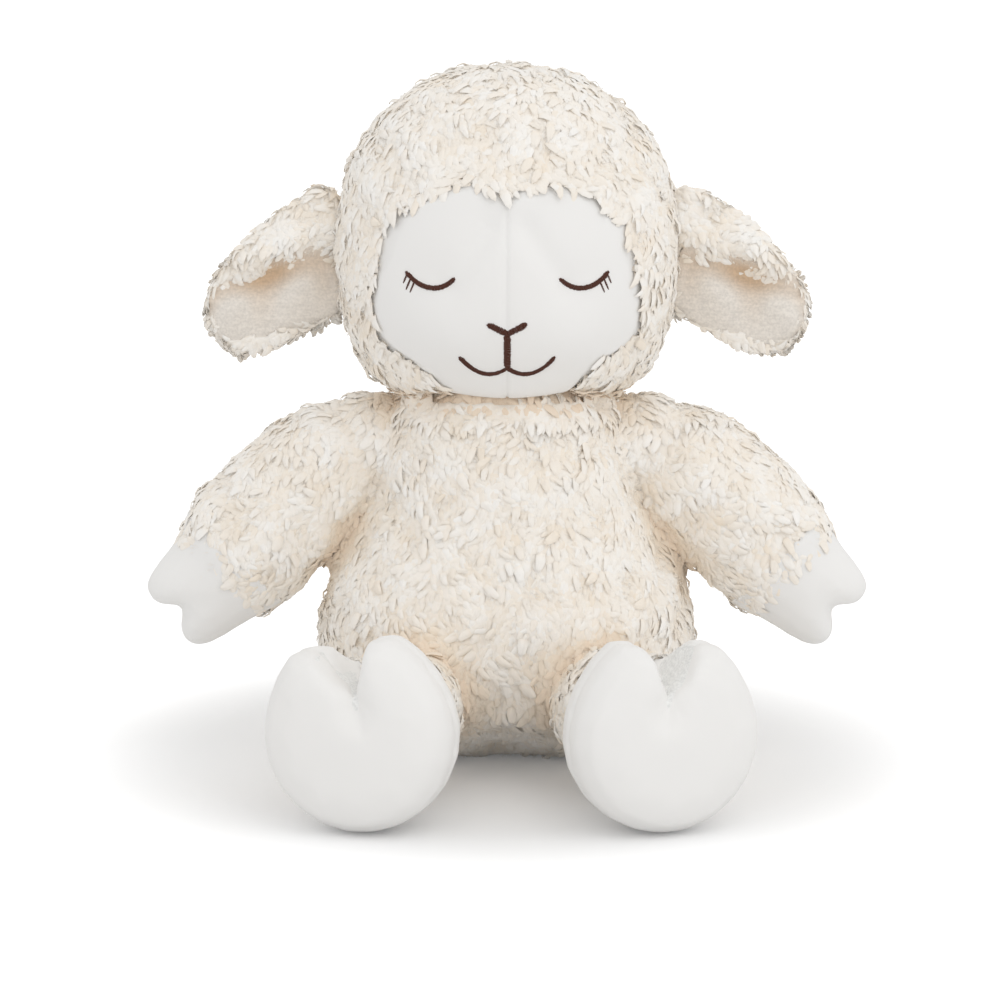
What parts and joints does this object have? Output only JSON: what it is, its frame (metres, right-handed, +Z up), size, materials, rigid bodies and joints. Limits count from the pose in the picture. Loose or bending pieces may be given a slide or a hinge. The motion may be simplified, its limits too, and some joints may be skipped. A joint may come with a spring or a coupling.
{
  "type": "plush sheep",
  "caption": "Seated plush lamb with a curly fleece cover, smooth face and hoofs, drooping lined ears, closed embroidered eyes, and soft joints at neck, ears, arms and legs.",
  "frame": {"origin": "on the floor at the middle of the flat under the seat", "axes": "+Z up; the sheep faces -Y; +X is the sheep's own left"},
  "size_m": [0.3006, 0.2134, 0.2886],
  "materials": {
    "curly_fleece": "cream curly pile fleece, about 7 mm deep",
    "velour": "white short-nap velour, matt",
    "ear_lining": "cream short-nap velour, matt",
    "thread": "dark brown rayon embroidery thread with a soft sheen",
    "fibre_filling": "white polyester fibre filling",
    "bag_cloth": "white woven cloth bag of plastic pellets"
  },
  "bodies": {
    "torso": {"body_front": "curly_fleece", "body_back": "curly_fleece", "body_stuffing": "fibre_filling", "pellet_bag": "bag_cloth"},
    "neck": {"neck_seam": "curly_fleece"},
    "head": {"hood_crown": "curly_fleece", "hood_side_left": "curly_fleece", "hood_side_right": "curly_fleece", "face_panel_left": "velour", "face_panel_right": "velour", "head_stuffing": "fibre_filling", "eye_embroidery_left": "thread", "eye_embroidery_right": "thread", "nose_mouth_embroidery": "thread"},
    "arm_left": {"arm_sleeve_left": "curly_fleece", "hand_hoof_left": "velour", "arm_stuffing_left": "fibre_filling"},
    "leg_left": {"leg_sleeve_left": "curly_fleece", "foot_upper_left": "velour", "foot_sole_left": "velour", "leg_stuffing_left": "fibre_filling"},
    "ear_left": {"ear_outer_left": "curly_fleece", "ear_lining_left": "ear_lining"},
    "arm_right": {"arm_sleeve_right": "curly_fleece", "hand_hoof_right": "velour", "arm_stuffing_right": "fibre_filling"},
    "leg_right": {"leg_sleeve_right": "curly_fleece", "foot_upper_right": "velour", "foot_sole_right": "velour", "leg_stuffing_right": "fibre_filling"},
    "ear_right": {"ear_outer_right": "curly_fleece", "ear_lining_right": "ear_lining"}
  },
  "joints": [
    {"name": "neck_nod", "type": "hinge", "parent": "torso", "child": "neck", "pos_m": [0, 0, 0.123], "axis": [1, 0, 0], "range_deg": [-15, 15], "stiffness_Nm_per_rad": 1.2},
    {"name": "neck_turn", "type": "hinge", "parent": "neck", "child": "head", "pos_m": [0, 0, 0.123], "axis": [0, 0, 1], "range_deg": [-40, 40], "stiffness_Nm_per_rad": 0.8},
    {"name": "ear_flap_left", "type": "hinge", "parent": "head", "child": "ear_left", "pos_m": [0.0735, 0, 0.213], "axis": [0, 0, 1], "range_deg": [-25, 25], "stiffness_Nm_per_rad": 0.05},
    {"name": "shoulder_left", "type": "hinge", "parent": "torso", "child": "arm_left", "pos_m": [0.0765, 0, 0.123], "axis": [0, -1, 0], "range_deg": [0, 50], "stiffness_Nm_per_rad": 0.3},
    {"name": "hip_left", "type": "hinge", "parent": "torso", "child": "leg_left", "pos_m": [0.042, -0.068, 0.0332], "axis": [-1, 0, 0], "range_deg": [0, 35], "stiffness_Nm_per_rad": 0.5},
    {"name": "ear_flap_right", "type": "hinge", "parent": "head", "child": "ear_right", "pos_m": [-0.0735, 0, 0.213], "axis": [0, 0, 1], "range_deg": [-25, 25], "stiffness_Nm_per_rad": 0.05},
    {"name": "shoulder_right", "type": "hinge", "parent": "torso", "child": "arm_right", "pos_m": [-0.0765, 0, 0.123], "axis": [0, 1, 0], "range_deg": [0, 50], "stiffness_Nm_per_rad": 0.3},
    {"name": "hip_right", "type": "hinge", "parent": "torso", "child": "leg_right", "pos_m": [-0.042, -0.068, 0.0332], "axis": [-1, 0, 0], "range_deg": [0, 35], "stiffness_Nm_per_rad": 0.5}
  ]
}
